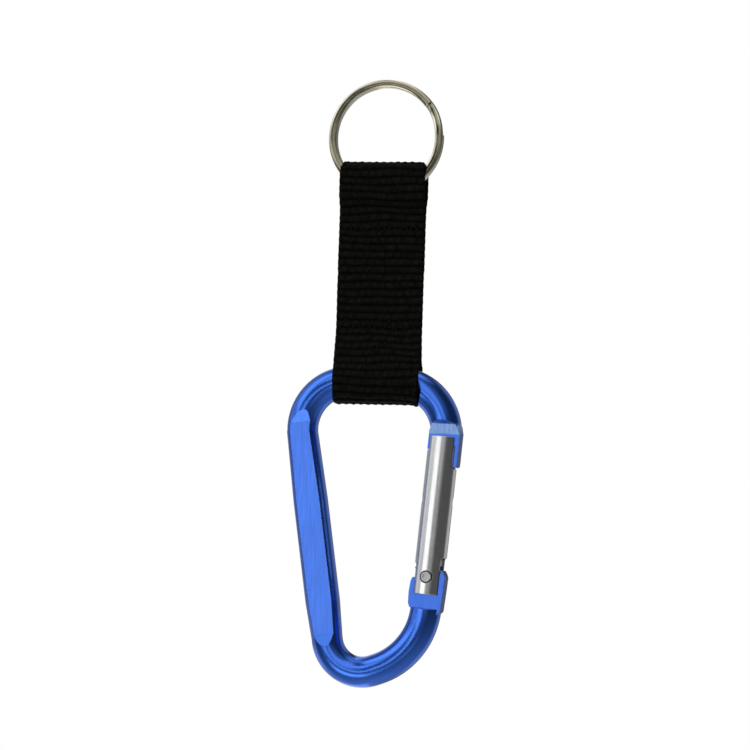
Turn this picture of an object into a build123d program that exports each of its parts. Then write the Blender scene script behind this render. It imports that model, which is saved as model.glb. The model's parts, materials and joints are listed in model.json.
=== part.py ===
"""Carabiner keyring: split ring, sewn webbing strap and a D-shaped carabiner with a sprung gate.

Millimetres, +Z up, front towards -Y. The origin is the centre of the split ring, and the
strap and the carabiner hang straight below it in the XZ plane.
"""
import os
from math import atan2, cos, degrees, pi, radians, sin, sqrt

from build123d import *

# Split ring: flattened wire with rounded faces and edges, wound in nearly two turns
ring_outer_radius = 14.7
ring_wire_width = 2.1
ring_wire_thickness = 1.15
ring_coil_gap = 0.06
ring_wire_edge_half_width = 0.75
ring_wire_edge_half_thickness = 0.42
ring_end_angle = 39.0
ring_crossover_angle = 36.0

# Strap: one band of webbing, doubled and sewn into a loop at each end
webbing_thickness = 1.1
strap_width = 22.0
strap_centre_x = -0.2
upper_flex_z = -18.6
lower_flex_z = -50.4
flex_gap = 0.1
cut_margin = 1.0

# Ring loop of the strap
ring_loop_top_z = -6.1
ring_loop_inner_half = 1.42
ring_loop_taper_z = -14.9
ring_loop_top_half_width = 9.9
ring_loop_shoulder_z = -10.0
ring_loop_clearance = 0.15
ring_loop_neck_gap = 0.05
ring_loop_neck_height = 0.6

# Carabiner loop of the strap, round the top bar
loop_cavity_radius = 5.4
loop_apex_height = 9.4
loop_left_x = -10.9
loop_right_x = 9.9
loop_full_width_z = -53.2
loop_fold_width_z = -56.2
loop_neck_length = 2.2
loop_neck_overlap = 1.0
loop_reach = 8.0

# Zigzag stitch rows
upper_row_z = -23.0
lower_row_z = -47.4
stitch_row_height = 2.7
stitch_row_length = 19.6
stitch_count = 14
thread_diameter = 0.42

# Carabiner bar
bar_radius = 3.9
top_bar_z = -61.4
nose_point = (17.95, -73.6)
top_right_corner = (17.1, top_bar_z)
top_left_corner = (-21.0, top_bar_z)
bottom_left_corner = (-8.9, -137.0)
bottom_right_corner = (13.1, -129.0)
hinge_point = (14.25, -117.2)
corner_radii = (13.0, 12.1, 9.0, 18.0)

# Pressed spine: wider than the bar, flat front and back, with a sloping run-out at each end
spine_half_width = 4.35
spine_half_depth = 4.15
spine_flat_half_thickness = 3.05
spine_widening_start = 12.5
spine_widening_end = 65.0
spine_widening_top_length = 18.0
spine_widening_low_length = 9.0
spine_flat_start = 10.9
spine_flat_end = 64.2
spine_slope_length = 3.2
spine_die_half_width = 7.0
die_overrun = 0.05

# Gate: a tube with a slot in each end, hinged on a rivet and closed by a spring
gate_pivot = (14.75, -109.7)
gate_lean = 4.45
gate_radius = 3.9
gate_wall = 0.65
gate_top = 35.0
gate_bottom = -4.3
slot_half_width = 2.45
slot_corner_radius = 0.9
nose_slot_outer_end = 27.2
nose_slot_inner_end = 31.3
hinge_slot_outer_end = 5.0
hinge_slot_inner_end = 3.3
dimple_height = 19.0
dimple_offset = 4.1
dimple_turn = 14.0
dimple_shell_radius = 1.7
dimple_radius = 1.1

# Nose tang, measured to the right of the gate's axis and up from its rivet
tang_half_thickness = 2.2
nose_tang_left = -3.55
nose_tang_right = 4.3
nose_tang_top = 38.0
nose_tang_draw_in = 0.5
nose_leg_end = 31.6
nose_tongue_left = -2.33
nose_tongue_right = 2.3
nose_tongue_end = 27.9
nose_tongue_corner = 0.8
nose_notch_top = 32.9
nose_finger_left = 3.5
nose_finger_end = 27.6
nose_finger_corner = ((0.5, 0.0), (0.15, 0.2), (0.0, 0.6))

# Shoulder above the nose tang: a gentle slope up to a straight ridge, then a step up to the bar
nose_shoulder_tilt = 2.5
nose_shoulder_low = 35.6
nose_shoulder_high = 38.1
nose_shoulder_depth = 2.8
nose_shoulder_edges = (-2.8, 2.85)
nose_step_length = 1.1

# Hinge tang: the outer edge runs from the cam down to the bar, the inner one back up to the ear
hinge_shoulder_low = -7.8
hinge_shoulder_length = 0.2
hinge_cam_side = ((0.4, 2.88), (2.6, 1.9), (3.3, 1.2), (3.6, 1.95), (4.2, 0.95), (4.45, 0.3))
hinge_outer_side = ((4.35, -3.5), (4.15, -8.1), (3.0, -9.5))
hinge_inner_side = ((-3.0, -9.5), (-3.3, -8.1), (-3.8, -7.7), (-4.15, -6.9), (-4.3, -4.0))
hinge_ear = ((-4.1, -1.4), (-3.85, -0.6), (-3.45, -0.3), (-3.12, -0.4))

# Cam on the hinge tang: the plunger's flat face rises in proportion to the gate's angle
cam_offset = 1.2
cam_height = 3.0
cam_clearance = 0.03
cam_sweep = 40.0
cam_heel_drop = 0.5

# Rivet
rivet_radius = 1.2
rivet_hole_clearance = 0.05
rivet_head_radius = 1.55
rivet_head_seat = 3.55
rivet_head_height = 4.12
rivet_head_chamfer = 0.2
rivet_dimple_radius = 0.8
rivet_dimple_depth = 0.3

# Plunger and spring inside the gate
plunger_head_radius = 2.9
plunger_head_length = 1.2
plunger_stem_radius = 1.7
plunger_stem_length = 4.0
spring_mean_radius = 2.45
spring_wire_radius = 0.25
spring_top = 17.0
spring_turns = 8

gate_angle = radians(gate_lean)
gate_up = (sin(gate_angle), 0, cos(gate_angle))
gate_right = (cos(gate_angle), 0, -sin(gate_angle))
cutter_reach = 12.0


def along_gate(u, v, y=0.0):
    """Point u to the right of the gate's axis and v above its rivet."""
    return (
        gate_pivot[0] + u * gate_right[0] + v * gate_up[0],
        y,
        gate_pivot[1] + u * gate_right[2] + v * gate_up[2],
    )


def gate_plane(v=0.0):
    """Plane across the gate's axis: its x runs to the right, its z up the gate."""
    return Plane(origin=along_gate(0, v), x_dir=gate_right, z_dir=gate_up)


def gate_side_plane():
    """Plane of the whole carabiner, with the rivet as origin and the gate's axis as its y."""
    return Plane(origin=along_gate(0, 0), x_dir=gate_right, z_dir=(0, -1, 0))


def front_plate(points, half_thickness):
    """Plate with an outline of (x, z) points, centred on the plane y = 0."""
    outline = make_face(Plane.XZ * Polyline(*points, close=True))
    return extrude(outline, amount=half_thickness, both=True)


def ring_section(angle, y):
    """Section of the ring's wire at an angle round the ring."""
    mean_radius = ring_outer_radius - ring_wire_width / 2
    turn = radians(angle)
    section = Plane(
        origin=(mean_radius * cos(turn), y, mean_radius * sin(turn)),
        x_dir=(cos(turn), 0, sin(turn)),
        z_dir=(-sin(turn), 0, cos(turn)),
    )
    half_width = ring_wire_width / 2
    half_thickness = ring_wire_thickness / 2
    corner_x = ring_wire_edge_half_width
    corner_y = ring_wire_edge_half_thickness
    outline = (
        ThreePointArc((-corner_x, -corner_y), (0, -half_thickness), (corner_x, -corner_y))
        + ThreePointArc((corner_x, -corner_y), (half_width, 0), (corner_x, corner_y))
        + ThreePointArc((corner_x, corner_y), (0, half_thickness), (-corner_x, corner_y))
        + ThreePointArc((-corner_x, corner_y), (-half_width, 0), (-corner_x, -corner_y))
    )
    return section * make_face(outline)


def split_ring():
    """Two flat coils side by side, joined by a short crossover between the wire's two ends."""
    offset = (ring_wire_thickness + ring_coil_gap) / 2
    coil_angle = 360.0 - ring_crossover_angle
    axis = Axis((0, 0, 0), (0, -1, 0))
    front_coil = revolve(ring_section(ring_end_angle, -offset), axis=axis, revolution_arc=coil_angle)
    back_coil = revolve(ring_section(ring_end_angle, offset), axis=axis, revolution_arc=coil_angle)
    steps = 8
    start = ring_end_angle - ring_crossover_angle
    sections = []
    for step in range(steps + 1):
        share = step / steps
        y = -offset * cos(pi * share)
        sections.append(ring_section(start + ring_crossover_angle * share, y))
    return front_coil + loft(sections) + back_coil


def flex_end(z):
    """Half-round end of a doubled strap, centred on a flex line across the strap."""
    rod = Cylinder(webbing_thickness, strap_width, rotation=(0, 90, 0))
    return Pos(strap_centre_x, 0, z) * rod


def strap_block(low_z, high_z, low_y, high_y):
    """Plain stretch of strap, of the strap's full width."""
    block = Box(strap_width, high_y - low_y, high_z - low_z)
    return Pos(strap_centre_x, (low_y + high_y) / 2, (low_z + high_z) / 2) * block


def extrude_along_x(outline, left_x, right_x):
    """Solid with a (y, z) outline, from left_x to right_x."""
    face = make_face(Plane.YZ * outline)
    return Pos(left_x, 0, 0) * extrude(face, amount=right_x - left_x, dir=(1, 0, 0))


def ring_loop_profile(half, top_z, low_half, low_z):
    """Closed outline of a flattened loop with a round top, drawn in to low_half at low_z."""
    shoulder = top_z - half
    right = Line((half, ring_loop_taper_z), (half, shoulder))
    fold = ThreePointArc((half, shoulder), (0, top_z), (-half, shoulder))
    left = Line((-half, shoulder), (-half, ring_loop_taper_z))
    base = Polyline(
        (-half, ring_loop_taper_z),
        (-low_half, low_z),
        (low_half, low_z),
        (half, ring_loop_taper_z),
    )
    return right + fold + left + base


def strap_ring_loop():
    """Webbing folded over the split ring's wire, down to the upper flex line."""
    outer_half = ring_loop_inner_half + webbing_thickness
    neck_z = upper_flex_z + webbing_thickness + flex_gap
    left_x = strap_centre_x - strap_width / 2
    right_x = strap_centre_x + strap_width / 2
    outer = ring_loop_profile(outer_half, ring_loop_top_z, webbing_thickness, neck_z)
    cavity_top = ring_loop_top_z - webbing_thickness
    cavity_low_z = neck_z + ring_loop_neck_height
    cavity = ring_loop_profile(ring_loop_inner_half, cavity_top, ring_loop_neck_gap, cavity_low_z)
    loop = extrude_along_x(outer, left_x, right_x)
    loop = loop - extrude_along_x(cavity, left_x - cut_margin, right_x + cut_margin)
    outline = front_plate(
        (
            (left_x, neck_z - cut_margin),
            (left_x, ring_loop_shoulder_z),
            (strap_centre_x - ring_loop_top_half_width, ring_loop_top_z),
            (strap_centre_x + ring_loop_top_half_width, ring_loop_top_z),
            (right_x, ring_loop_shoulder_z),
            (right_x, neck_z - cut_margin),
        ),
        outer_half + cut_margin,
    )
    track_outer = ring_outer_radius + ring_loop_clearance
    track_inner = ring_outer_radius - ring_wire_width - ring_loop_clearance
    track_width = 2 * ring_loop_inner_half
    track = Cylinder(track_outer, track_width) - Cylinder(track_inner, track_width)
    return (loop & outline) - Rot(90, 0, 0) * track


def thread_run(y, row_z):
    """Zigzag of thread on one face of the strap, with its needle holes at the turns."""
    half_height = stitch_row_height / 2
    pitch = stitch_row_length / stitch_count
    start_x = strap_centre_x - stitch_row_length / 2
    points = []
    for stitch in range(stitch_count + 1):
        side = 1 if stitch % 2 else -1
        points.append((start_x + stitch * pitch, row_z + side * half_height))
    thread = None
    for begin, end in zip(points[:-1], points[1:]):
        run = Vector(end[0] - begin[0], 0, end[1] - begin[1])
        lean = degrees(atan2(run.X, run.Z))
        rod = Rot(0, lean, 0) * Cylinder(thread_diameter / 2, run.length)
        piece = Pos((begin[0] + end[0]) / 2, y, (begin[1] + end[1]) / 2) * rod
        thread = piece if thread is None else thread + piece
    for x, z in points:
        thread = thread + Pos(x, y, z) * Sphere(thread_diameter / 2)
    return thread, points


def stitch_row(row_z):
    """One row of zigzag stitching: thread on both faces, and through the strap at each turn."""
    face_y = webbing_thickness
    front, points = thread_run(-face_y, row_z)
    back, points = thread_run(face_y, row_z)
    row = front + back
    for x, z in points:
        pin = Cylinder(thread_diameter / 2, 2 * face_y, rotation=(90, 0, 0))
        row = row + Pos(x, 0, z) * pin
    return row


def strap_layer(side, rows):
    """Front (side -1) or back (side 1) layer of webbing between the two flex lines."""
    lower_end = lower_flex_z + webbing_thickness + flex_gap
    low_y = min(0, side * webbing_thickness)
    high_y = max(0, side * webbing_thickness)
    layer = strap_block(lower_end, upper_flex_z, low_y, high_y)
    half_space = strap_block(lower_end, upper_flex_z + 2 * webbing_thickness, low_y, high_y)
    layer = layer + (flex_end(upper_flex_z) & half_space)
    for row in rows:
        layer = layer - row
    return layer


def loop_profile(radius, half_angle):
    """Closed teardrop outline: a circle round the bar and its two tangents to a point above."""
    tangent_y = radius * cos(half_angle)
    tangent_z = top_bar_z + radius * sin(half_angle)
    apex = (0, top_bar_z + radius / sin(half_angle))
    fold = ThreePointArc((tangent_y, tangent_z), (0, top_bar_z - radius), (-tangent_y, tangent_z))
    return fold + Polyline((-tangent_y, tangent_z), apex, (tangent_y, tangent_z))


def strap_carabiner_loop():
    """Webbing folded round the carabiner's top bar, up to the lower flex line."""
    half_angle = atan2(loop_cavity_radius, sqrt(loop_apex_height**2 - loop_cavity_radius**2))
    left_x = strap_centre_x - strap_width / 2
    right_x = strap_centre_x + strap_width / 2
    outer = loop_profile(loop_cavity_radius + webbing_thickness, half_angle)
    cavity = loop_profile(loop_cavity_radius, half_angle)
    neck_low_z = lower_flex_z - loop_neck_length
    neck = strap_block(neck_low_z, lower_flex_z, -webbing_thickness, webbing_thickness)
    body = extrude_along_x(outer, left_x, right_x)
    low_z = top_bar_z - loop_reach
    below_flex = strap_block(low_z, lower_flex_z - loop_neck_overlap, -loop_reach, loop_reach)
    body = (body & below_flex) + neck + flex_end(lower_flex_z)
    body = body - extrude_along_x(cavity, left_x - cut_margin, right_x + cut_margin)
    outline = front_plate(
        (
            (left_x, lower_flex_z + 2 * webbing_thickness),
            (left_x, loop_full_width_z),
            (loop_left_x, loop_fold_width_z),
            (loop_left_x, low_z),
            (loop_right_x, low_z),
            (loop_right_x, loop_fold_width_z),
            (right_x, loop_full_width_z),
            (right_x, lower_flex_z + 2 * webbing_thickness),
        ),
        loop_reach,
    )
    return body & outline


def bar_path():
    """Centreline of the bent bar, from the nose round to the hinge."""
    corners = (
        nose_point,
        top_right_corner,
        top_left_corner,
        bottom_left_corner,
        bottom_right_corner,
        hinge_point,
    )
    return FilletPolyline(*[(x, 0, z) for x, z in corners], radius=list(corner_radii))


def spine_plane(distance):
    """Plane across the spine at a distance below the top left corner."""
    top = Vector(top_left_corner[0], 0, top_left_corner[1])
    bottom = Vector(bottom_left_corner[0], 0, bottom_left_corner[1])
    down = (bottom - top).normalized()
    origin = top + down * distance
    return Plane(origin=origin, x_dir=(-down.Z, 0, down.X), z_dir=down)


def widened_spine():
    """Spine spread sideways by pressing, running out to the round bar at both ends."""
    full_start = spine_widening_start + spine_widening_top_length
    full_end = spine_widening_end - spine_widening_low_length
    oval = Ellipse(spine_half_width, spine_half_depth)
    circle = Circle(bar_radius)
    upper = loft([spine_plane(spine_widening_start) * circle, spine_plane(full_start) * oval])
    middle = extrude(spine_plane(full_start) * oval, amount=full_end - full_start)
    lower = loft([spine_plane(full_end) * oval, spine_plane(spine_widening_end) * circle])
    return upper + middle + lower


def spine_die(side):
    """Press die that leaves the flat and its two slopes on the front (-1) or back (1)."""
    flat_y = side * spine_flat_half_thickness
    clear_y = side * (bar_radius + die_overrun)
    far_y = side * cutter_reach
    outline = Polyline(
        (spine_flat_start - spine_slope_length, clear_y),
        (spine_flat_start, flat_y),
        (spine_flat_end, flat_y),
        (spine_flat_end + spine_slope_length, clear_y),
        (spine_flat_end + spine_slope_length, far_y),
        (spine_flat_start - spine_slope_length, far_y),
        close=True,
    )
    across = spine_plane(0)
    along = Plane(origin=across.origin, x_dir=across.z_dir, z_dir=across.x_dir)
    return extrude(along * make_face(outline), amount=spine_die_half_width, both=True)


def across_gate(outline, tilt=0.0):
    """Block with an outline of (height up the gate, y) points, wide enough to cross a tang."""
    lean = gate_angle - radians(tilt)
    up = (sin(lean), 0, cos(lean))
    right = (cos(lean), 0, -sin(lean))
    side = Plane(origin=along_gate(0, 0), x_dir=up, z_dir=right)
    return extrude(side * make_face(outline), amount=cutter_reach / 2, both=True)


def nose_die(side):
    """Press die that thins the bar to the nose tang: a step, then a gentle slope."""
    run_out = nose_shoulder_high + nose_step_length
    return across_gate(
        Polyline(
            (run_out, side * (bar_radius + die_overrun)),
            (nose_shoulder_high, side * nose_shoulder_depth),
            (nose_shoulder_low, side * tang_half_thickness),
            (0, side * tang_half_thickness),
            (0, side * cutter_reach),
            (run_out, side * cutter_reach),
            close=True,
        ),
        nose_shoulder_tilt,
    )


def hinge_die(side):
    """Press die that thins the bar to the hinge tang, with a short step for a shoulder."""
    clear_depth = bar_radius + die_overrun
    return across_gate(
        Polyline(
            (hinge_shoulder_low - hinge_shoulder_length, side * clear_depth),
            (hinge_shoulder_low, side * tang_half_thickness),
            (0, side * tang_half_thickness),
            (0, side * cutter_reach),
            (hinge_shoulder_low - hinge_shoulder_length, side * cutter_reach),
            close=True,
        )
    )


def nose_shoulder():
    """Metal spread sideways by the press on the gentle slope above the nose tang."""
    slopes = across_gate(
        Polyline(
            (nose_shoulder_low, -tang_half_thickness),
            (nose_shoulder_high, -nose_shoulder_depth),
            (nose_shoulder_high, nose_shoulder_depth),
            (nose_shoulder_low, tang_half_thickness),
            close=True,
        ),
        nose_shoulder_tilt,
    )
    left_high, right_high = nose_shoulder_edges
    outline = Polyline(
        (nose_tang_left, nose_shoulder_low - nose_tang_draw_in),
        (nose_tang_right, nose_shoulder_low - nose_tang_draw_in),
        (nose_tang_right, nose_shoulder_low + nose_tang_draw_in),
        (right_high, nose_shoulder_high + nose_tang_draw_in),
        (left_high, nose_shoulder_high + nose_tang_draw_in),
        (nose_tang_left, nose_shoulder_low + nose_tang_draw_in),
        close=True,
    )
    return slopes & extrude(gate_side_plane() * make_face(outline), amount=cutter_reach / 2, both=True)


def nose_tang():
    """Flat nose: a leg in the inner slot, a tongue inside the tube and a finger in the outer slot."""
    finger = [(nose_tang_right - u, nose_finger_end + v) for u, v in nose_finger_corner]
    outline = Polyline(
        (nose_tang_left + nose_tang_draw_in, nose_tang_top),
        (nose_tang_left, nose_shoulder_low + nose_tang_draw_in),
        (nose_tang_left, nose_leg_end),
        (nose_tongue_left, nose_leg_end),
        (nose_tongue_left, nose_tongue_end + nose_tongue_corner),
        (nose_tongue_left + nose_tongue_corner, nose_tongue_end),
        (nose_tongue_right, nose_tongue_end),
        (nose_tongue_right, nose_notch_top),
        (nose_finger_left, nose_notch_top),
        (nose_finger_left, nose_finger_end),
        *finger,
        (nose_tang_right, nose_shoulder_low + nose_tang_draw_in),
        (nose_tang_right - nose_tang_draw_in, nose_tang_top),
        close=True,
    )
    return extrude(gate_side_plane() * make_face(outline), amount=tang_half_thickness, both=True)


def cam_points(count=7):
    """Points of the cam: a flat face on them stands cam_height above the rivet, plus
    cam_offset for each radian that the gate has opened."""
    points = []
    for index in range(count):
        turn = radians(cam_sweep) * index / (count - 1)
        height = cam_height - cam_clearance + cam_offset * turn
        u = -height * sin(turn) - cam_offset * cos(turn)
        v = height * cos(turn) - cam_offset * sin(turn)
        points.append((u, v))
    return points


def hinge_tang():
    """Flat hinge end: an ear on the inner side, the cam, and a peaked shoulder outside."""
    cam = cam_points()
    heel_u, heel_v = cam[-1]
    heel = (hinge_ear[-1][0], heel_v - cam_heel_drop)
    sides = (*hinge_cam_side, *hinge_outer_side, *hinge_inner_side, *hinge_ear)
    outline = Spline(*reversed(cam)) + Polyline(cam[0], *sides, heel, (heel_u, heel_v))
    plate = extrude(gate_side_plane() * make_face(outline), amount=tang_half_thickness, both=True)
    hole = Cylinder(rivet_radius + rivet_hole_clearance, 3 * tang_half_thickness, rotation=(90, 0, 0))
    return plate - Pos(*along_gate(0, 0)) * hole


def carabiner_frame():
    """Bent bar with the pressed spine and the two flat tangs."""
    path = bar_path()
    bar = sweep(Plane(origin=path @ 0, z_dir=path % 0) * Circle(bar_radius), path=path)
    frame = bar + widened_spine()
    for side in (-1, 1):
        frame = frame - spine_die(side)
        frame = frame - nose_die(side)
        frame = frame - hinge_die(side)
    return frame + nose_shoulder() + nose_tang() + hinge_tang()


def end_slot(side, low_v, high_v, opens_up):
    """Slot through the outer (side 1) or inner (side -1) wall of the gate, at one of its ends."""
    length = high_v - low_v
    depth = gate_radius + cut_margin
    slot = Box(depth, 2 * slot_half_width, length)
    corners = slot.edges().filter_by(Axis.X).group_by(Axis.Z)
    slot = fillet(corners[0 if opens_up else -1], slot_corner_radius)
    placed = Pos(side * depth / 2, 0, (low_v + high_v) / 2) * slot
    return gate_plane() * placed


def gate_tube():
    """Tube with four end slots, a rivet hole and two punched dimples that seat the spring."""
    length = gate_top - gate_bottom
    upright = (Align.CENTER, Align.CENTER, Align.MIN)
    skin = Cylinder(gate_radius, length, align=upright)
    bore = Cylinder(gate_radius - gate_wall, length, align=upright)
    tube = skin - bore
    dimple_z = dimple_height - gate_bottom
    for side in (-1, 1):
        centre = Rot(0, 0, dimple_turn) * Pos(side * dimple_offset, 0, dimple_z)
        tube = (tube + (centre * Sphere(dimple_shell_radius) & skin)) - centre * Sphere(dimple_radius)
    tube = gate_plane(gate_bottom) * tube
    tube = tube - end_slot(1, nose_slot_outer_end, gate_top + cut_margin, True)
    tube = tube - end_slot(-1, nose_slot_inner_end, gate_top + cut_margin, True)
    tube = tube - end_slot(1, gate_bottom - cut_margin, hinge_slot_outer_end, False)
    tube = tube - end_slot(-1, gate_bottom - cut_margin, hinge_slot_inner_end, False)
    return tube - rivet_blank()


def rivet_blank():
    """Rivet before its heads are dimpled: the room that it takes in the gate."""
    rivet = Cylinder(rivet_radius, 2 * rivet_head_seat, rotation=(90, 0, 0))
    head_length = rivet_head_height - rivet_head_seat
    for side in (-1, 1):
        head = Cylinder(rivet_head_radius, head_length, rotation=(90, 0, 0))
        head = chamfer(head.edges().group_by(Axis.Y)[0 if side < 0 else -1], rivet_head_chamfer)
        rivet = rivet + Pos(0, side * (rivet_head_seat + head_length / 2), 0) * head
    return Pos(*along_gate(0, 0)) * rivet


def gate_rivet():
    """Shaft through the gate and the hinge tang, with a dimpled head at each end."""
    rivet = rivet_blank()
    for side in (-1, 1):
        cup = Cylinder(rivet_dimple_radius, 2 * rivet_dimple_depth, rotation=(90, 0, 0))
        rivet = rivet - Pos(*along_gate(0, 0, side * rivet_head_height)) * cup
    return rivet


def gate_plunger():
    """Headed pin: the spring sits on its head and the head's flat face rides on the cam."""
    upright = (Align.CENTER, Align.CENTER, Align.MIN)
    head = Cylinder(plunger_head_radius, plunger_head_length, align=upright)
    stem = Cylinder(plunger_stem_radius, plunger_stem_length, align=upright)
    return gate_plane(cam_height) * (head + Pos(0, 0, plunger_head_length) * stem)


def gate_spring():
    """Compression spring between the plunger's head and the gate's dimples."""
    low = cam_height + plunger_head_length + spring_wire_radius
    high = spring_top - spring_wire_radius
    height = high - low
    path = Helix(height / spring_turns, height, spring_mean_radius)
    section = Plane(origin=path @ 0, z_dir=path % 0) * Circle(spring_wire_radius)
    coil = sweep(section, path=path, is_frenet=True)
    return gate_plane(low) * coil


def build_nodes():
    """Every piece by node name."""
    upper_row = stitch_row(upper_row_z)
    lower_row = stitch_row(lower_row_z)
    rows = (upper_row, lower_row)
    return {
        "split_ring": split_ring(),
        "strap_ring_loop": strap_ring_loop(),
        "strap_front_layer": strap_layer(-1, rows),
        "strap_back_layer": strap_layer(1, rows),
        "upper_stitch_row": upper_row,
        "lower_stitch_row": lower_row,
        "strap_carabiner_loop": strap_carabiner_loop(),
        "carabiner_frame": carabiner_frame(),
        "gate_tube": gate_tube(),
        "gate_rivet": gate_rivet(),
        "gate_plunger": gate_plunger(),
        "gate_spring": gate_spring(),
    }


os.makedirs("parts", exist_ok=True)
for node_name, node_shape in build_nodes().items():
    export_step(node_shape, f"parts/{node_name}.step")
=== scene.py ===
import json
import math

import bpy
import numpy as np
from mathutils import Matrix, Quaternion, Vector
from mathutils.bvhtree import BVHTree


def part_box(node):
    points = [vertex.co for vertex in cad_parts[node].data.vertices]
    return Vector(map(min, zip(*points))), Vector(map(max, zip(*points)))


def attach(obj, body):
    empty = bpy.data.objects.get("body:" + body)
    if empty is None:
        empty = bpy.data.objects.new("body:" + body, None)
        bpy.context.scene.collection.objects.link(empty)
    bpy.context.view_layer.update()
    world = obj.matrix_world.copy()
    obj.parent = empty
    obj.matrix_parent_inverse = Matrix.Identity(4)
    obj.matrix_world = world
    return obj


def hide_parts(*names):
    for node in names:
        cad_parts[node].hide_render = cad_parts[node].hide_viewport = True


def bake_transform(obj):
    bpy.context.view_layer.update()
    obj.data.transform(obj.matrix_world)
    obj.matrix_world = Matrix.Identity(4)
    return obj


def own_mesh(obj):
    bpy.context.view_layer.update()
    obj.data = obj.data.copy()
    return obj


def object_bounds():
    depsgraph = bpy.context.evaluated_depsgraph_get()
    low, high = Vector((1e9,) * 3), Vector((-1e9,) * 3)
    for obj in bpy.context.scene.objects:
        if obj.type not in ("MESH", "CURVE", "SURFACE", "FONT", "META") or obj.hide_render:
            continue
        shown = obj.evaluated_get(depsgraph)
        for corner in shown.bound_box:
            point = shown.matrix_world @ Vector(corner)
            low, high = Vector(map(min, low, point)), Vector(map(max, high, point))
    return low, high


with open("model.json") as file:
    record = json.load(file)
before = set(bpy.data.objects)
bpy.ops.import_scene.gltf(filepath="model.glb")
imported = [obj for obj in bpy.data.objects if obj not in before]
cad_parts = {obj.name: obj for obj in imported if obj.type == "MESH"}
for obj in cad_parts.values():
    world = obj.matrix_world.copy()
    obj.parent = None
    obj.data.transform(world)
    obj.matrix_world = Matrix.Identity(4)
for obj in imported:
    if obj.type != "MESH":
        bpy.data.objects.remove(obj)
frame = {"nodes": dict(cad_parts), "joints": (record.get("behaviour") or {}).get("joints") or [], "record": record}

MM = 0.001
sharp_corner = math.radians(70)
cad_low, cad_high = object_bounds()
joints = {joint["name"]: joint for joint in frame["joints"]}

# Webbing: a warp-faced weave, with a rib across the band for each weft thread
strap_low, strap_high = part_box("strap_front_layer")
band_thickness = 0.92 * MM
layer_offset = 0.55 * MM
rib_pitch = 1.9 * MM
warp_count = 23
samples_per_rib = 11
samples_per_warp = 5
rib_depth = 0.33 * MM
float_height = 0.13 * MM
warp_depth = 0.04 * MM
selvedge_width = 0.55 * MM
edge_waver = 0.05 * MM
path_step = 0.1 * MM
ring_fold_blur = 0.9 * MM
bar_fold_blur = 1.6 * MM

# Ring loop of the strap
ring_loop_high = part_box("strap_ring_loop")[1]
ring_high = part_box("split_ring")[1]
ring_loop_half = 1.97 * MM
ring_loop_neck_z = -17.9 * MM
ring_loop_taper_z = -14.7 * MM
ring_wire_width = 2.1 * MM
contact_gap = 0.04 * MM

# Carabiner loop of the strap
bar_axis_z = joints["carabiner_swing"]["pos_m"][2]
bar_loop_radius = 5.2 * MM
bar_squeeze = 0.25 * MM
bar_loop_skew = 0.14
parting_z = joints["lower_flex"]["pos_m"][2] + 0.9 * MM

# Stitch rows
stitch_count = 14
stitch_row_length = 19.6 * MM
stitch_row_height = 2.7 * MM
thread_radius = 0.2 * MM
thread_twist = 1.1 * MM
thread_lobe = 0.16
stitch_dip = 0.1 * MM


def loose_noise(seed, *places):
    """Smooth noise from -1 to 1, the same for the same seed, from a few sines of each place."""
    rng = np.random.default_rng(seed)
    total = 0.0
    waves = 5
    for _ in range(waves):
        phase = rng.uniform(0, 2 * math.pi)
        for place in places:
            phase = phase + place * rng.uniform(0.5, 2.0)
        total = total + np.sin(phase)
    return total / waves


def mesh_object(name, points, faces):
    """New smooth-shaded object of a mesh, linked to the scene, with its sharp corners kept."""
    mesh = bpy.data.meshes.new(name)
    mesh.from_pydata([tuple(p) for p in points], [], [tuple(f) for f in faces])
    mesh.update()
    mesh.shade_smooth()
    mesh.set_sharp_from_angle(angle=sharp_corner)
    piece = bpy.data.objects.new(name, mesh)
    bpy.context.scene.collection.objects.link(piece)
    return piece


def even_path(corners, blur):
    """Points a step apart along a (y, z) polyline, with its corners rounded over a length."""
    corners = np.array(corners)
    along = np.concatenate([[0], np.cumsum(np.linalg.norm(np.diff(corners, axis=0), axis=1))])
    count = int(along[-1] / path_step)
    places = np.linspace(0, along[-1], count)
    path = np.stack([np.interp(places, along, corners[:, axis]) for axis in (0, 1)], axis=1)
    reach = int(blur / path_step)
    window = np.hanning(2 * reach + 3)[1:-1]
    window = window / window.sum()
    before = 2 * path[0] - path[reach:0:-1]
    after = 2 * path[-1] - path[-2:-reach - 2:-1]
    padded = np.concatenate([before, path, after])
    return np.stack([np.convolve(padded[:, axis], window, "valid") for axis in (0, 1)], axis=1)


def arc(centre_z, radius, start, end, count=60):
    """Points of an arc in the (y, z) plane, angles measured from +Y."""
    return [
        (radius * math.cos(angle), centre_z + radius * math.sin(angle))
        for angle in np.linspace(start, end, count)
    ]


def ring_loop_path():
    """Centreline of the band from the front, up over the ring's wire and down the back."""
    top_z = ring_loop_high.z - band_thickness / 2
    centre_z = top_z - ring_loop_half
    front = [
        (-layer_offset, split_z),
        (-layer_offset, ring_loop_neck_z),
        (-ring_loop_half, ring_loop_taper_z),
    ]
    back = [(-y, z) for y, z in reversed(front)]
    return even_path(front + arc(centre_z, ring_loop_half, math.pi, 0) + back, ring_fold_blur)


def bar_loop_path():
    """Centreline of the band from the back, down round the top bar and up the front."""
    drop = parting_z - bar_axis_z
    lean = math.asin((bar_loop_radius - layer_offset) / drop)
    back = [(layer_offset, split_z), (layer_offset, parting_z)]
    front = [(-y, z) for y, z in reversed(back)]
    fold = arc(bar_axis_z, bar_loop_radius, lean, -math.pi - lean)
    return even_path(back + fold + front, bar_fold_blur)


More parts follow.
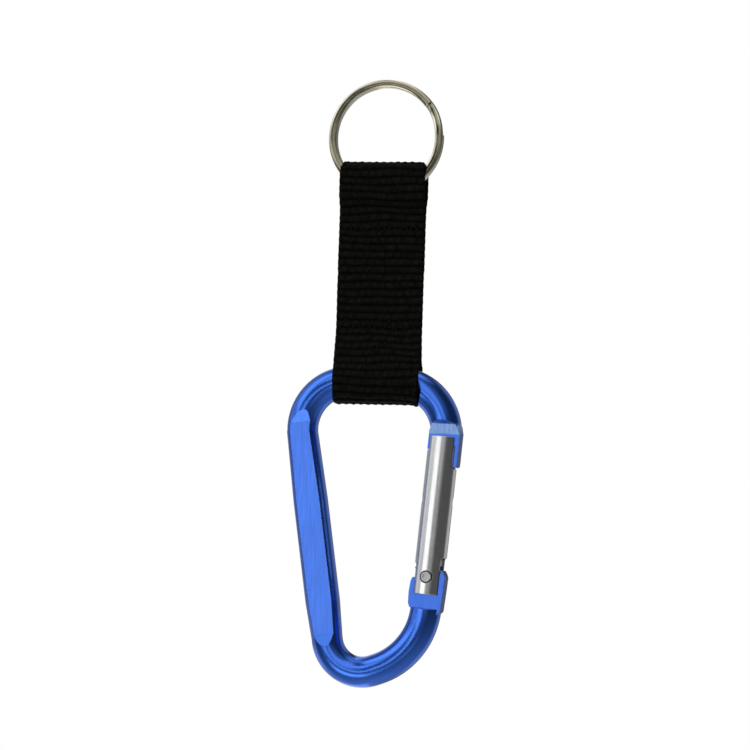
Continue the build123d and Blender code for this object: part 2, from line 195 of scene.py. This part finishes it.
def push_off_ring(points):
    """Moves points of the band's middle surface off the ring's wire, wherever the ring has turned."""
    outer = ring_high.z
    inner = outer - ring_wire_width
    half = ring_high.y
    clear = band_thickness / 2 + contact_gap
    radius = np.hypot(points[..., 0], points[..., 2])
    side = np.abs(points[..., 1])
    over = np.maximum(side - half, 0)
    inside = (radius < outer) & (over < clear)
    wanted = inner - np.sqrt(np.maximum(clear**2 - over**2, 0))
    fold_z = max(ring_loop_taper_z, ring_loop_high.z - ring_loop_half - band_thickness)
    move = np.where(inside & (points[..., 2] > fold_z), np.minimum(wanted - radius, 0), 0)
    scale = 1 + move / np.maximum(radius, MM)
    points[..., 0] *= np.where(move < 0, 0.5 + scale / 2, 1)
    points[..., 2] *= scale
    return points


def bar_reach(columns):
    """How far the top bar reaches below its straight stretch's axis, at each x."""
    bar = frame["nodes"]["carabiner_frame"]
    tree = BVHTree.FromObject(bar, bpy.context.evaluated_depsgraph_get())
    start_z = bar_axis_z - 12 * MM
    hits = [tree.ray_cast(Vector((x, 0, start_z)), Vector((0, 0, 1)))[0] for x in columns]
    return np.array([bar_axis_z - hit.z for hit in hits])


def push_off_bar(points):
    """Moves points of the band's middle surface off the bar, however the carabiner swings."""
    columns = np.linspace(points[..., 0].min(), points[..., 0].max(), 45)
    reach = np.interp(points[..., 0], columns, bar_reach(columns))
    clear = reach + band_thickness / 2 - bar_squeeze
    depth = points[..., 2] - bar_axis_z
    radius = np.hypot(points[..., 1], depth)
    scale = np.maximum(radius, clear) / radius
    points[..., 0] -= bar_loop_skew * points[..., 1]
    points[..., 1] *= scale
    points[..., 2] = bar_axis_z + depth * scale
    return points


def band_edges(path, edge_table):
    """Left and right edges of the band along its path, from (z, left, right) rows."""
    rows = np.array(edge_table)
    order = np.argsort(rows[:, 0])
    return [np.interp(path[:, 1], rows[order, 0], rows[order, side]) for side in (1, 2)]


def weave(ribs, warps, settle, seed, face):
    """Relief of the weave over its mean level, at rib and warp coordinates."""
    rng = np.random.default_rng(seed)
    size = (96, warp_count + 2)
    heights = rng.uniform(-0.6, 0.5, size)
    column = np.clip(np.floor(warps), 0, warp_count - 1).astype(int)
    over = ribs + column + face + 0.5
    float_index = np.floor(over / 2).astype(int) % size[0]
    float_rise = np.sin(math.pi * over / 2) ** 2 * (1 + heights[float_index, column] * settle)
    yarn = 0.6 + 0.4 * np.abs(np.sin(math.pi * warps)) ** 0.8
    rib = np.abs(np.sin(math.pi * ribs)) ** 0.8
    return rib_depth * (rib - 0.7) + float_height * (float_rise * yarn - 0.3) + warp_depth * (yarn - 0.7)


def build_band(name, path, edge_table, push, seed):
    """Closed band of webbing along a path, with its weave as relief on both faces."""
    steps = np.linalg.norm(np.diff(path, axis=0), axis=1)
    along = np.concatenate([[0], np.cumsum(steps)])
    rib_count = 2 * max(1, round(along[-1] / rib_pitch / 2))
    rows = rib_count * samples_per_rib + 1
    columns = warp_count * samples_per_warp + 1
    places = np.linspace(0, along[-1], rows)
    line = np.stack([np.interp(places, along, path[:, axis]) for axis in (0, 1)], axis=1)
    ribs = 0.5 + np.linspace(0, rib_count, rows)[:, None] + np.zeros((rows, columns))
    warps = np.linspace(0, warp_count, columns)[None, :] + np.zeros((rows, columns))
    settle = np.clip(np.minimum(ribs - 0.5, rib_count + 0.5 - ribs) / 2, 0, 1)
    rib_waver = 0.25 * settle * loose_noise(seed, warps / 3, ribs / 2)
    left, right = band_edges(line, edge_table)
    edge_ribs = np.abs(np.sin(math.pi * ribs[:, 0])) - 0.6
    left = left - edge_waver * (edge_ribs + settle[:, 0] * loose_noise(seed + 1, ribs[:, 0] / 2))
    right = right + edge_waver * (edge_ribs + settle[:, 0] * loose_noise(seed + 2, ribs[:, 0] / 2))
    share = warps / warp_count
    middle = np.empty((rows, columns, 3))
    middle[..., 0] = left[:, None] * (1 - share) + right[:, None] * share
    middle[..., 1] = line[:, :1]
    middle[..., 2] = line[:, 1:]
    middle = push(middle)
    thickness = np.full((rows, columns), band_thickness)
    for row_z in stitch_rows_z:
        dip = np.exp(-(((middle[..., 2] - row_z) / (0.6 * stitch_row_height)) ** 2))
        thickness = thickness - stitch_dip * dip
    down = np.gradient(middle, axis=0)
    across = np.gradient(middle, axis=1)
    normal = np.cross(across, down)
    normal /= np.linalg.norm(normal, axis=2, keepdims=True)
    from_edge = np.minimum(share, 1 - share) * (right - left)[:, None]
    inward = np.clip(1 - from_edge / selvedge_width, 0, 1)
    body = np.sqrt(1 - 0.93 * inward**2)
    outer_relief = weave(ribs + rib_waver, warps, settle, seed + 3, 0) * (1 - 0.6 * inward)
    inner_relief = weave(ribs + rib_waver, warps, settle, seed + 4, 1) * 0.5
    outer = middle + normal * ((thickness / 2 * body) + outer_relief)[..., None]
    inner = middle - normal * ((thickness / 2 * body) + inner_relief * body)[..., None]
    return band_mesh(name, outer, inner, ribs + rib_waver, warps)


def band_mesh(name, outer, inner, ribs, warps):
    """Mesh of two grids of points, joined all round their edges, with weave coordinates as UVs."""
    rows, columns = outer.shape[:2]
    index = np.arange(rows * columns).reshape(rows, columns)
    other = index + rows * columns

    def quads(grid):
        corners = [grid[:-1, :-1], grid[:-1, 1:], grid[1:, 1:], grid[1:, :-1]]
        return np.stack(corners, axis=-1).reshape(-1, 4)

    def wall(near, far):
        return np.stack([near[:-1], near[1:], far[1:], far[:-1]], axis=-1)

    faces = np.concatenate([
        quads(index),
        quads(other)[:, ::-1],
        wall(index[:, 0], other[:, 0]),
        wall(other[:, -1], index[:, -1]),
        wall(other[0], index[0]),
        wall(index[-1], other[-1]),
    ])
    points = np.concatenate([outer.reshape(-1, 3), inner.reshape(-1, 3)])
    piece = mesh_object(name, points, faces.tolist())
    layer = piece.data.uv_layers.new(name="weave")
    corners = np.zeros(len(piece.data.loops), int)
    piece.data.loops.foreach_get("vertex_index", corners)
    places = np.stack([warps.ravel(), ribs.ravel()], axis=1)
    places = np.concatenate([places, places])
    layer.data.foreach_set("uv", places[corners].astype(np.float32).ravel())
    return piece


def tube(name, points, radius, upright, sides=10, plies=0, ply_pitch=1.0):
    """Closed tube along points. With plies, its section is lobed and turns like twisted thread."""
    points = np.array(points)
    tangent = np.gradient(points, axis=0)
    tangent /= np.linalg.norm(tangent, axis=1, keepdims=True)
    side = np.cross(tangent, np.array(upright))
    side /= np.linalg.norm(side, axis=1, keepdims=True)
    lift = np.cross(side, tangent)
    steps = np.linalg.norm(np.diff(points, axis=0), axis=1)
    along = np.concatenate([[0], np.cumsum(steps)])
    angle = np.linspace(0, 2 * math.pi, sides, endpoint=False)
    turn = 2 * math.pi * along / ply_pitch
    lobes = 1 + (thread_lobe * np.cos(plies * (angle[None, :] - turn[:, None])) if plies else 0)
    size = radius * lobes * np.ones((len(points), sides))
    rings = points[:, None, :] + size[..., None] * (
        np.cos(angle)[None, :, None] * side[:, None, :] + np.sin(angle)[None, :, None] * lift[:, None, :]
    )
    count = len(points)
    index = np.arange(count * sides).reshape(count, sides)
    after = np.roll(index, -1, axis=1)
    faces = np.stack([index[:-1], after[:-1], after[1:], index[1:]], axis=-1).reshape(-1, 4).tolist()
    faces = [list(face)[::-1] for face in faces]
    faces.append(index[0].tolist())
    faces.append(index[-1][::-1].tolist())
    return mesh_object(name, rings.reshape(-1, 3), faces)


# The two pieces of webbing meet on a rib, halfway down the sewn stretch
split_z = (strap_low.z + strap_high.z) / 2
stitch_rows = ("upper_stitch_row", "lower_stitch_row")
stitch_rows_z = [sum(corner.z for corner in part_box(row)) / 2 for row in stitch_rows]


def build_webbing():
    """The two pieces of webbing: one folded round the ring's wire, one round the top bar."""
    left, right = strap_low.x, strap_high.x
    fold_z = ring_loop_high.z
    upper_edges = [
        (fold_z, left + 0.3 * MM, right - 0.9 * MM),
        (fold_z - 1.0 * MM, left + 0.15 * MM, right - 0.25 * MM),
        (fold_z - 3.0 * MM, left, right - 0.05 * MM),
        (split_z, left, right),
    ]
    upper = build_band("webbing_upper", ring_loop_path(), upper_edges, push_off_ring, 11)
    lower_edges = [
        (split_z, left, right),
        (parting_z, left, right),
        (bar_axis_z, left, right),
        (bar_axis_z - 6.0 * MM, left + 0.1 * MM, right - 0.5 * MM),
    ]
    lower = build_band("webbing_lower", bar_loop_path(), lower_edges, push_off_bar, 31)
    return upper, lower


def stitch_run(name, row_z, side, seed):
    """Zigzag thread on one face of the strap: each stitch rises from one needle hole to the next."""
    rng = np.random.default_rng(seed)
    pitch = stitch_row_length / stitch_count
    start_x = (strap_low.x + strap_high.x - stitch_row_length) / 2
    surface = layer_offset + band_thickness / 2 - stitch_dip / 2
    holes = []
    for stitch in range(stitch_count + 1):
        up = 1 if stitch % 2 else -1
        wander = rng.uniform(-0.3, 0.3, 2) * MM
        hole_z = row_z + up * stitch_row_height / 2
        holes.append((start_x + stitch * pitch + wander[0], hole_z + wander[1]))
    points = []
    samples_per_stitch = 26
    for begin, end in zip(holes[:-1], holes[1:]):
        slack = rng.uniform(0.85, 1.1)
        bow = rng.uniform(-0.12, 0.12) * MM
        for share in np.linspace(0, 1, samples_per_stitch, endpoint=False):
            rise = math.sin(math.pi * share) ** 0.4
            depth = surface + (rise * slack - 0.75) * 1.2 * thread_radius
            x = begin[0] + (end[0] - begin[0]) * share + bow * math.sin(math.pi * share)
            z = begin[1] + (end[1] - begin[1]) * share
            points.append((x, side * depth, z))
    return tube(name, points, thread_radius, (0, 1, 0), plies=2, ply_pitch=thread_twist)


def build_stitching():
    """Both stitch rows, each with thread on the front and on the back."""
    rows = {}
    for place, row_z, seed in (("upper", stitch_rows_z[0], 5), ("lower", stitch_rows_z[1], 8)):
        rows[place] = [
            stitch_run(f"{place}_stitches_front", row_z, -1, seed),
            stitch_run(f"{place}_stitches_back", row_z, 1, seed + 100),
        ]
    return rows


def build_spring():
    """Compression spring with closed ends, between the plunger's head and the gate's dimples."""
    pivot = Vector(joints["gate_hinge"]["pos_m"])
    up = Vector(joints["plunger_slide"]["axis"]).normalized()
    right = Vector((up.z, 0, -up.x))
    heights = [(v.co - pivot).dot(up) for v in frame["nodes"]["gate_spring"].data.vertices]
    spreads = [(v.co - pivot).dot(right) for v in frame["nodes"]["gate_spring"].data.vertices]
    wire_radius = 0.25 * MM
    low, high = min(heights) + wire_radius, max(heights) - wire_radius
    coil_radius = max(spreads) - wire_radius
    open_turns = 7.0
    dead_height = 2 * wire_radius
    pitch = (high - low - 2 * dead_height) / open_turns
    turns = np.linspace(0, open_turns + 2, int((open_turns + 2) * 40) + 1)
    height = np.interp(
        turns,
        [0, 1, open_turns + 1, open_turns + 2],
        [low, low + dead_height, low + dead_height + pitch * open_turns, high],
    )
    points = [
        pivot + up * h + right * (coil_radius * math.cos(2 * math.pi * t))
        + Vector((0, coil_radius * math.sin(2 * math.pi * t), 0))
        for t, h in zip(turns, height)
    ]
    spring = tube("gate_coil_spring", points, wire_radius, up, sides=12)
    coupling = frame["record"]["behaviour"]["couplings"][0]
    travel = coupling["ratio"] * math.radians(joints["gate_hinge"]["range_deg"][1])
    return spring, up, pivot + up * max(heights), 1 - travel / (high - low)


class NodeKit:
    """Short calls for building one node tree."""

    def __init__(self, tree):
        self.tree = tree
        tree.nodes.clear()

    def add(self, kind, inputs=None, **settings):
        node = self.tree.nodes.new(kind)
        for key, value in settings.items():
            setattr(node, key, value)
        for key, value in (inputs or {}).items():
            self.feed(node.inputs[key], value)
        return node

    def feed(self, socket, value):
        if isinstance(value, bpy.types.NodeSocket):
            self.tree.links.new(value, socket)
        else:
            socket.default_value = value

    def math(self, operation, first, second=0.0, third=0.0):
        node = self.add("ShaderNodeMath", {0: first, 1: second, 2: third}, operation=operation)
        return node.outputs[0]

    def parts(self, vector):
        return self.add("ShaderNodeSeparateXYZ", {0: vector}).outputs

    def vector(self, x, y, z):
        return self.add("ShaderNodeCombineXYZ", {0: x, 1: y, 2: z}).outputs[0]

    def place(self):
        return self.add("ShaderNodeTexCoord").outputs["Object"]

    def stretched(self, vector, scale, rotation=(0, 0, 0)):
        node = self.add("ShaderNodeMapping", {"Vector": vector, "Scale": scale, "Rotation": rotation})
        return node.outputs[0]

    def noise(self, vector, scale=1.0, detail=3.0, roughness=0.5):
        inputs = {"Vector": vector, "Scale": scale, "Detail": detail, "Roughness": roughness}
        return self.add("ShaderNodeTexNoise", inputs).outputs[0]

    def remap(self, value, low, high, to_low=0.0, to_high=1.0, smooth=False):
        inputs = {"Value": value, "From Min": low, "From Max": high, "To Min": to_low, "To Max": to_high}
        kind = "SMOOTHSTEP" if smooth else "LINEAR"
        return self.add("ShaderNodeMapRange", inputs, interpolation_type=kind).outputs[0]

    def mix(self, share, first, second):
        node = self.add("ShaderNodeMix", {0: share, 6: first, 7: second}, data_type="RGBA")
        return node.outputs[2]

    def length(self, first, second):
        squares = self.math("ADD", self.math("MULTIPLY", first, first), self.math("MULTIPLY", second, second))
        return self.math("SQRT", squares)

    def bump(self, height, distance, strength=1.0, normal=None):
        inputs = {"Height": height, "Distance": distance, "Strength": strength}
        if normal is not None:
            inputs["Normal"] = normal
        return self.add("ShaderNodeBump", inputs).outputs[0]


def new_material(name):
    """A material with a Principled shader: returns it, its node kit and the shader."""
    material = bpy.data.materials.new(name)
    material.use_nodes = True
    kit = NodeKit(material.node_tree)
    shader = kit.add("ShaderNodeBsdfPrincipled")
    kit.add("ShaderNodeOutputMaterial", {"Surface": shader.outputs[0]})
    return material, kit, shader


def rgb(red, green, blue):
    return (red, green, blue, 1.0)


def anodised_material():
    """Blue anodising over polished aluminium: fine polishing lines, scuffs and a painted highlight along the
    edges.
    """
    material, kit, shader = new_material("blue_anodising")
    place = kit.place()
    polish = kit.noise(kit.stretched(place, (3500, 3500, 130)), detail=4, roughness=0.6)
    cloud = kit.noise(place, 160, detail=3)
    scuffs = kit.noise(kit.stretched(place, (900, 900, 260), (0.5, 0.3, 0.2)), detail=6, roughness=0.7)
    scuff_mask = kit.remap(scuffs, 0.68, 0.76)
    edge = kit.add("ShaderNodeBevel", {"Radius": 0.16 * MM}, samples=4).outputs[0]
    true_normal = kit.add("ShaderNodeNewGeometry").outputs["Normal"]
    compare = kit.add("ShaderNodeVectorMath", {0: edge, 1: true_normal}, operation="DOT_PRODUCT")
    facing = compare.outputs["Value"]
    # Painted highlight: the blue is made paler along the rounded edges, where the bevelled normal turns away from
    # the true one.
    edge_highlight_mask = kit.remap(facing, 0.995, 0.93, smooth=True)
    deep = kit.mix(cloud, rgb(0.034, 0.168, 0.80), rgb(0.046, 0.196, 0.90))
    edge_highlighted = kit.mix(kit.math("MULTIPLY", edge_highlight_mask, 0.45), deep, rgb(0.20, 0.40, 0.98))
    # A lighter, streaked blue and a rougher finish on the nose side, from 0.2 mm to 3.3 mm above the gate's top.
    height_above = kit.math("SUBTRACT", kit.parts(place)[2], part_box("gate_tube")[1].z)
    above_low = kit.remap(height_above, 0.2 * MM, 0.5 * MM)
    below_high = kit.remap(height_above, 3.3 * MM, 3.0 * MM)
    on_nose = kit.math("GREATER_THAN", kit.parts(place)[0], 10 * MM)
    nose_band = kit.math("MULTIPLY", kit.math("MULTIPLY", above_low, below_high), on_nose)
    lines = kit.noise(kit.stretched(place, (5200, 900, 260)), detail=4, roughness=0.7)
    nose_band_streaks = kit.math("MULTIPLY", nose_band, kit.remap(lines, 0.35, 0.6, 0.25, 0.75))
    kit.feed(shader.inputs["Base Color"], kit.mix(nose_band_streaks, edge_highlighted, rgb(0.42, 0.68, 1.0)))
    shader.inputs["Metallic"].default_value = 1.0
    rough = kit.remap(polish, 0.3, 0.7, 0.2, 0.28)
    rough = kit.math("ADD", rough, kit.math("MULTIPLY", scuff_mask, 0.12))
    rough = kit.math("MULTIPLY_ADD", nose_band, 0.2, rough)
    kit.feed(shader.inputs["Roughness"], rough)
    shader.inputs["Coat Weight"].default_value = 0.7
    shader.inputs["Coat Roughness"].default_value = 0.13
    shader.inputs["Coat IOR"].default_value = 1.5
    height = kit.math("MULTIPLY_ADD", scuff_mask, -0.6, polish)
    kit.feed(shader.inputs["Normal"], kit.bump(height, 0.004 * MM, 0.2, edge))
    return material


def aluminium_material():
    """Polished aluminium tube with drawn lines along it and light scratches."""
    material, kit, shader = new_material("polished_aluminium")
    lean = math.atan2(gate_axis.x, gate_axis.z)
    along = kit.stretched(kit.place(), (4200, 4200, 90), (0, -lean, 0))
    drawn = kit.noise(along, detail=5, roughness=0.65)
    cloud = kit.noise(kit.place(), 350, detail=2)
    crossed = kit.stretched(kit.place(), (700, 2500, 300), (0.3, 0.9, 0.1))
    scratch = kit.noise(crossed, detail=5, roughness=0.75)
    marks = kit.remap(scratch, 0.64, 0.7)
    kit.feed(shader.inputs["Base Color"], kit.mix(cloud, rgb(0.80, 0.81, 0.83), rgb(0.90, 0.90, 0.91)))
    shader.inputs["Metallic"].default_value = 1.0
    rough = kit.remap(drawn, 0.3, 0.7, 0.18, 0.28)
    kit.feed(shader.inputs["Roughness"], kit.math("MULTIPLY_ADD", marks, 0.15, rough))
    height = kit.math("MULTIPLY_ADD", marks, -0.7, drawn)
    edge = kit.add("ShaderNodeBevel", {"Radius": 0.25 * MM}, samples=4).outputs[0]
    kit.feed(shader.inputs["Normal"], kit.bump(height, 0.003 * MM, 0.6, edge))
    return material


def rivet_material():
    """Bright rivet with the faint rings of its forming tool, and painted shade round the edge of its head."""
    material, kit, shader = new_material("rivet_aluminium")
    x, y, z = kit.parts(kit.place())
    pivot = joints["gate_hinge"]["pos_m"]
    across = kit.math("SUBTRACT", x, pivot[0])
    above = kit.math("SUBTRACT", z, pivot[2])
    radius = kit.length(across, above)
    turned = kit.vector(kit.math("MULTIPLY", radius, 9000), 0.0, kit.math("MULTIPLY", y, 400))
    rings = kit.noise(turned, detail=3)
    spots = kit.noise(kit.place(), 2600, detail=4)
    bright = kit.mix(spots, rgb(0.46, 0.46, 0.47), rgb(0.62, 0.62, 0.63))
    # Painted shade: a dark ring round the edge of the head.
    rim_shade = kit.remap(radius, 1.1 * MM, 1.32 * MM, smooth=True)
    kit.feed(shader.inputs["Base Color"], kit.mix(rim_shade, bright, rgb(0.10, 0.10, 0.105)))
    shader.inputs["Metallic"].default_value = 1.0
    kit.feed(shader.inputs["Roughness"], kit.remap(spots, 0.3, 0.7, 0.2, 0.36))
    kit.feed(shader.inputs["Normal"], kit.bump(rings, 0.006 * MM, 0.7))
    return material


def nickel_material():
    """Nickel-plated spring wire: drawn lines round the ring, slightly warm, and painted shade on the wire's flat
    faces.
    """
    material, kit, shader = new_material("nickel_plate")
    x, y, z = kit.parts(kit.place())
    radius = kit.length(x, z)
    drawn = kit.vector(kit.math("MULTIPLY", radius, 7000), kit.math("MULTIPLY", y, 7000), 0.0)
    lines = kit.noise(drawn, detail=4)
    cloud = kit.noise(kit.place(), 420, detail=4)
    pits = kit.remap(kit.noise(kit.place(), 3800, detail=3), 0.66, 0.74)
    # Painted shade: the wire's flat faces, which face along Y, get a much darker copy of the nickel than its
    # rounded sides.
    facing = kit.math("ABSOLUTE", kit.parts(kit.add("ShaderNodeTexCoord").outputs["Normal"])[1])
    face = kit.remap(facing, 0.9, 0.985, smooth=True)
    bright = kit.mix(cloud, rgb(0.90, 0.86, 0.69), rgb(0.97, 0.94, 0.80))
    painted_flat_shade = kit.mix(cloud, rgb(0.12, 0.11, 0.065), rgb(0.36, 0.34, 0.24))
    kit.feed(shader.inputs["Base Color"], kit.mix(face, bright, painted_flat_shade))
    shader.inputs["Metallic"].default_value = 1.0
    rough = kit.remap(cloud, 0.3, 0.7, 0.12, 0.2)
    kit.feed(shader.inputs["Roughness"], kit.math("MULTIPLY_ADD", pits, 0.2, rough))
    height = kit.math("MULTIPLY_ADD", pits, -0.8, lines)
    kit.feed(shader.inputs["Normal"], kit.bump(height, 0.004 * MM, 0.6))
    return material


def turned_material():
    """Turned steel: the lathe's fine grooves round the gate's axis."""
    material, kit, shader = new_material("turned_steel")
    lean = math.atan2(gate_axis.x, gate_axis.z)
    grooves = kit.noise(kit.stretched(kit.place(), (150, 150, 9000), (0, -lean, 0)), detail=3)
    kit.feed(shader.inputs["Base Color"], kit.mix(grooves, rgb(0.36, 0.36, 0.37), rgb(0.52, 0.52, 0.52)))
    shader.inputs["Metallic"].default_value = 1.0
    kit.feed(shader.inputs["Roughness"], kit.remap(grooves, 0.3, 0.7, 0.25, 0.42))
    kit.feed(shader.inputs["Normal"], kit.bump(grooves, 0.01 * MM, 0.8))
    return material


def spring_material():
    """Drawn spring wire with a thin, patchy oil-brown film."""
    material, kit, shader = new_material("spring_wire")
    patches = kit.noise(kit.place(), 900, detail=5)
    grain = kit.noise(kit.place(), 9000, detail=2)
    kit.feed(shader.inputs["Base Color"], kit.mix(patches, rgb(0.26, 0.24, 0.21), rgb(0.46, 0.45, 0.44)))
    shader.inputs["Metallic"].default_value = 1.0
    kit.feed(shader.inputs["Roughness"], kit.remap(patches, 0.3, 0.7, 0.25, 0.45))
    kit.feed(shader.inputs["Normal"], kit.bump(grain, 0.006 * MM, 0.7))
    return material


def webbing_material():
    """Black polypropylene webbing: filaments along each warp yarn, lint, faint fading and painted shade in the
    grooves between ribs.
    """
    material, kit, shader = new_material("black_webbing")
    weave_place = kit.add("ShaderNodeUVMap", uv_map="weave").outputs[0]
    filaments = kit.noise(kit.stretched(weave_place, (16, 1.4, 1)), detail=3, roughness=0.6)
    patches = kit.noise(kit.stretched(weave_place, (0.6, 0.9, 1)), detail=5, roughness=0.75)
    fuzz = kit.noise(kit.stretched(weave_place, (5, 6, 1)), detail=5, roughness=0.8)
    shade = kit.math("MULTIPLY_ADD", filaments, 0.25, kit.math("MULTIPLY", patches, 0.4))
    shade = kit.math("MULTIPLY_ADD", fuzz, 0.35, shade)
    yarn = kit.mix(kit.remap(shade, 0.4, 0.62), rgb(0.0006, 0.0006, 0.0004), rgb(0.0190, 0.0184, 0.0137))
    # Painted shade: the grooves between the ribs are darkened.
    ribs = kit.parts(weave_place)[1]
    crown = kit.math("ABSOLUTE", kit.math("SINE", kit.math("MULTIPLY", ribs, math.pi)))
    groove_shade = kit.remap(crown, 0.95, 0.1, smooth=True)
    shaded = kit.mix(kit.math("MULTIPLY", groove_shade, 0.75), yarn, rgb(0.0004, 0.0004, 0.0003))
    kit.feed(shader.inputs["Base Color"], shaded)
    kit.feed(shader.inputs["Roughness"], kit.remap(fuzz, 0.3, 0.7, 0.5, 0.72))
    shader.inputs["Specular IOR Level"].default_value = 0.035
    height = kit.math("MULTIPLY_ADD", filaments, 0.7, kit.math("MULTIPLY", fuzz, 0.3))
    kit.feed(shader.inputs["Normal"], kit.bump(height, 0.12 * MM, 1.0))
    return material


def thread_material():
    """Black bonded polyester thread, a little shinier than the webbing."""
    material, kit, shader = new_material("black_thread")
    twisted = kit.stretched(kit.place(), (9000, 9000, 4200), (0.2, 0.4, 0.1))
    fibres = kit.noise(twisted, detail=4, roughness=0.7)
    black = kit.mix(fibres, rgb(0.0018, 0.0018, 0.0015), rgb(0.0125, 0.0120, 0.0100))
    kit.feed(shader.inputs["Base Color"], black)
    kit.feed(shader.inputs["Roughness"], kit.remap(fibres, 0.3, 0.7, 0.36, 0.55))
    shader.inputs["Specular IOR Level"].default_value = 0.06
    kit.feed(shader.inputs["Normal"], kit.bump(fibres, 0.02 * MM, 0.6))
    return material


def paint(piece, material):
    """Gives a piece one material, whatever slots it has."""
    piece.data.materials.clear()
    piece.data.materials.append(material)


def floor_material():
    """Near-white studio floor, which glows a little so that it meets the white surroundings."""
    material, kit, shader = new_material("studio_floor")
    speckle = kit.noise(kit.place(), 30, detail=5)
    kit.feed(shader.inputs["Base Color"], kit.mix(speckle, rgb(0.88, 0.88, 0.88), rgb(0.93, 0.93, 0.93)))
    shader.inputs["Roughness"].default_value = 0.7
    shader.inputs["Emission Color"].default_value = rgb(1, 1, 1)
    shader.inputs["Emission Strength"].default_value = 0.55
    return material


def build_floor():
    """Wide pale floor well below the hanging keyring."""
    half = 2.0
    drop = 0.16
    floor_z = cad_low.z - drop
    corners = [(-half, -half, floor_z), (half, -half, floor_z), (half, half, floor_z), (-half, half, floor_z)]
    floor = mesh_object("studio_floor", corners, [(0, 1, 2, 3)])
    paint(floor, floor_material())
    floor.visible_glossy = False
    floor.visible_diffuse = False


def build_world():
    """White surroundings for the camera, and a studio of soft panels for everything else.

    A panel is (radiance, middle azimuth, half width, middle elevation, half height, soft edge),
    in degrees. Azimuth 0 is in front of the object, towards -Y, and 90 is on its +X side."""
    world = bpy.data.worlds.new("studio")
    bpy.context.scene.world = world
    world.use_nodes = True
    kit = NodeKit(world.node_tree)
    direction = kit.add("ShaderNodeTexCoord").outputs["Generated"]
    x, y, z = kit.parts(direction)
    azimuth = kit.math("MULTIPLY", kit.math("ARCTAN2", x, kit.math("MULTIPLY", y, -1.0)), 180 / math.pi)
    elevation = kit.math("MULTIPLY", kit.math("ARCSINE", z), 180 / math.pi)
    total = kit.remap(elevation, -75, -5, 0.5, 0.07)
    panels = [
        (1.8, -29, 18, 1, 5, 3),
        (1.35, -60, 18, 41, 23, 7),
        (1.05, -50, 8, 14, 7, 5),
        (0.65, -72, 16, 7, 6, 5),
        (0.3, -95, 14, 35, 30, 8),
        (1.4, -23, 12, 35, 8, 5),
        (0.95, 3, 14, 33, 28, 5),
        (0.2, 32, 12, 40, 20, 8),
        (1.9, -22, 16, -26, 7, 5),
        (0.55, 10, 9, -20, 4, 4),
        (0.25, 15, 12, 1, 4, 5),
        (0.45, -110, 18, -22, 12, 8),
        (0.22, -112, 30, 0, 60, 10),
        (0.36, 142, 22, 0, 50, 10),
        (0.7, 202, 16, 0, 85, 6),
        (0.9, 0, 181, 90, 20, 9),
    ]
    for strength, middle, half_width, height, half_height, edge in panels:
        window = panel_window(kit, azimuth, elevation, middle, half_width, height, half_height, edge)
        total = kit.math("MULTIPLY_ADD", window, strength, total)
    light = kit.add("ShaderNodeBackground", {"Color": rgb(1, 1, 1), "Strength": total})
    white = kit.add("ShaderNodeBackground", {"Color": rgb(1, 1, 1), "Strength": 1.0})
    seen = kit.add("ShaderNodeLightPath").outputs["Is Camera Ray"]
    both = kit.add("ShaderNodeMixShader", {0: seen, 1: light.outputs[0], 2: white.outputs[0]})
    kit.add("ShaderNodeOutputWorld", {"Surface": both.outputs[0]})


def panel_window(kit, azimuth, elevation, middle, half_width, height, half_height, edge):
    """1 inside a panel and 0 outside it, with a soft edge."""
    sideways = kit.math("ABSOLUTE", kit.math("WRAP", kit.math("SUBTRACT", azimuth, middle), 180.0, -180.0))
    upwards = kit.math("ABSOLUTE", kit.math("SUBTRACT", elevation, height))
    wide = kit.remap(sideways, half_width + edge, half_width - edge, smooth=True)
    tall = kit.remap(upwards, half_height + edge, half_height - edge, smooth=True)
    return kit.math("MULTIPLY", wide, tall)


def build_camera():
    """Long-lens camera a little to the right of the front and a little below the middle."""
    field = 187.5 * MM
    distance = 0.9
    azimuth, elevation, roll = math.radians(13), math.radians(-4), math.radians(2)
    aim = Vector((-0.8 * MM, 0, -59.7 * MM))
    back = Vector((
        math.sin(azimuth) * math.cos(elevation),
        -math.cos(azimuth) * math.cos(elevation),
        math.sin(elevation),
    ))
    data = bpy.data.cameras.new("camera")
    data.lens = data.sensor_width * distance / field
    data.clip_start = 0.05
    data.clip_end = 20.0
    camera = bpy.data.objects.new("camera", data)
    bpy.context.scene.collection.objects.link(camera)
    camera.location = aim + back * distance
    camera.rotation_mode = "QUATERNION"
    turn = (-back).to_track_quat("-Z", "Y")
    camera.rotation_quaternion = turn @ Quaternion((0, 0, 1), roll)
    bpy.context.scene.camera = camera


bpy.context.scene.view_settings.view_transform = "Standard"
build_world()
build_floor()
build_camera()

upper_webbing, lower_webbing = build_webbing()
stitching = build_stitching()
spring, gate_axis, spring_anchor, spring_keep = build_spring()

webbing_look = webbing_material()
thread_look = thread_material()
paint(upper_webbing, webbing_look)
paint(lower_webbing, webbing_look)
for run in stitching["upper"] + stitching["lower"]:
    paint(run, thread_look)
    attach(run, "strap")
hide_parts("upper_stitch_row")
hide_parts("lower_stitch_row")

for band, first, second, joint, nodes in (
    (upper_webbing, "ring_loop", "strap", "upper_flex", ("strap_ring_loop", "strap_front_layer")),
    (lower_webbing, "strap", "carabiner_loop", "lower_flex", ("strap_back_layer", "strap_carabiner_loop")),
):
    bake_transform(band)
    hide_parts(*nodes)

paint(spring, spring_material())
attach(spring, "gate")
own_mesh(spring)
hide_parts("gate_spring")

paint(frame["nodes"]["split_ring"], nickel_material())
paint(frame["nodes"]["carabiner_frame"], anodised_material())
paint(frame["nodes"]["gate_tube"], aluminium_material())
paint(frame["nodes"]["gate_rivet"], rivet_material())
paint(frame["nodes"]["gate_plunger"], turned_material())
